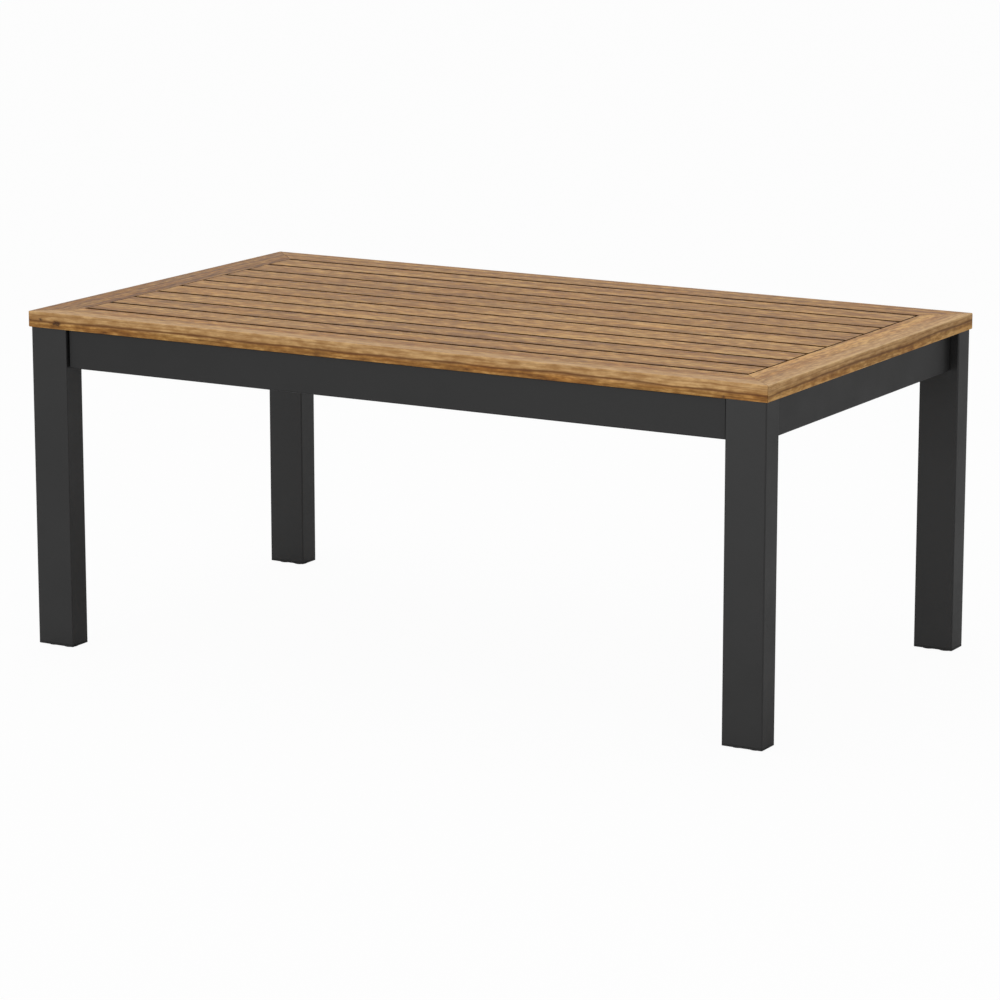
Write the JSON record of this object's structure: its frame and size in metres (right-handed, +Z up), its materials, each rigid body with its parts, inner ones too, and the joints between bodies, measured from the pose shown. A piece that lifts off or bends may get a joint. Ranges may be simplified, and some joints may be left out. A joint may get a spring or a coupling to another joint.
{
  "type": "slatted coffee table",
  "caption": "Low rectangular garden coffee table with a mitred, slatted hardwood top on a dark powder-coated aluminium tube base, bolted at folded corner brackets.",
  "frame": {"origin": "on the floor, under the middle of the table", "axes": "+X along the table's length, +Y across it to the back, +Z up"},
  "size_m": [1.1, 0.615, 0.46],
  "materials": {
    "oiled_hardwood": "planed, sanded and oiled",
    "plain_hardwood": "planed, unfinished underside timber",
    "powder_coated_aluminium": "anthracite powder coat, matte with a fine texture",
    "moulded_polypropylene": "moulded, black",
    "zinc_plated_steel": "bright zinc plate"
  },
  "bodies": {
    "root": {"board_front": "oiled_hardwood", "board_right": "oiled_hardwood", "board_back": "oiled_hardwood", "board_left": "oiled_hardwood", "slat_1": "oiled_hardwood", "slat_2": "oiled_hardwood", "slat_3": "oiled_hardwood", "slat_4": "oiled_hardwood", "slat_5": "oiled_hardwood", "slat_6": "oiled_hardwood", "slat_7": "oiled_hardwood", "slat_8": "oiled_hardwood", "slat_9": "oiled_hardwood", "batten_1": "plain_hardwood", "batten_2": "plain_hardwood", "batten_3": "plain_hardwood", "mitre_spline_front_left": "plain_hardwood", "mitre_spline_front_right": "plain_hardwood", "mitre_spline_back_right": "plain_hardwood", "mitre_spline_back_left": "plain_hardwood", "apron_front": "powder_coated_aluminium", "apron_right": "powder_coated_aluminium", "apron_back": "powder_coated_aluminium", "apron_left": "powder_coated_aluminium", "leg_front_left": "powder_coated_aluminium", "foot_cap_front_left": "moulded_polypropylene", "corner_bracket_front_left": "zinc_plated_steel", "bolt_front_left_long_1": "zinc_plated_steel", "bolt_front_left_long_2": "zinc_plated_steel", "bolt_front_left_short_1": "zinc_plated_steel", "bolt_front_left_short_2": "zinc_plated_steel", "bolt_front_left_leg_1": "zinc_plated_steel", "bolt_front_left_leg_2": "zinc_plated_steel", "leg_front_right": "powder_coated_aluminium", "foot_cap_front_right": "moulded_polypropylene", "corner_bracket_front_right": "zinc_plated_steel", "bolt_front_right_long_1": "zinc_plated_steel", "bolt_front_right_long_2": "zinc_plated_steel", "bolt_front_right_short_1": "zinc_plated_steel", "bolt_front_right_short_2": "zinc_plated_steel", "bolt_front_right_leg_1": "zinc_plated_steel", "bolt_front_right_leg_2": "zinc_plated_steel", "leg_back_right": "powder_coated_aluminium", "foot_cap_back_right": "moulded_polypropylene", "corner_bracket_back_right": "zinc_plated_steel", "bolt_back_right_long_1": "zinc_plated_steel", "bolt_back_right_long_2": "zinc_plated_steel", "bolt_back_right_short_1": "zinc_plated_steel", "bolt_back_right_short_2": "zinc_plated_steel", "bolt_back_right_leg_1": "zinc_plated_steel", "bolt_back_right_leg_2": "zinc_plated_steel", "leg_back_left": "powder_coated_aluminium", "foot_cap_back_left": "moulded_polypropylene", "corner_bracket_back_left": "zinc_plated_steel", "bolt_back_left_long_1": "zinc_plated_steel", "bolt_back_left_long_2": "zinc_plated_steel", "bolt_back_left_short_1": "zinc_plated_steel", "bolt_back_left_short_2": "zinc_plated_steel", "bolt_back_left_leg_1": "zinc_plated_steel", "bolt_back_left_leg_2": "zinc_plated_steel"}
  },
  "joints": []
}
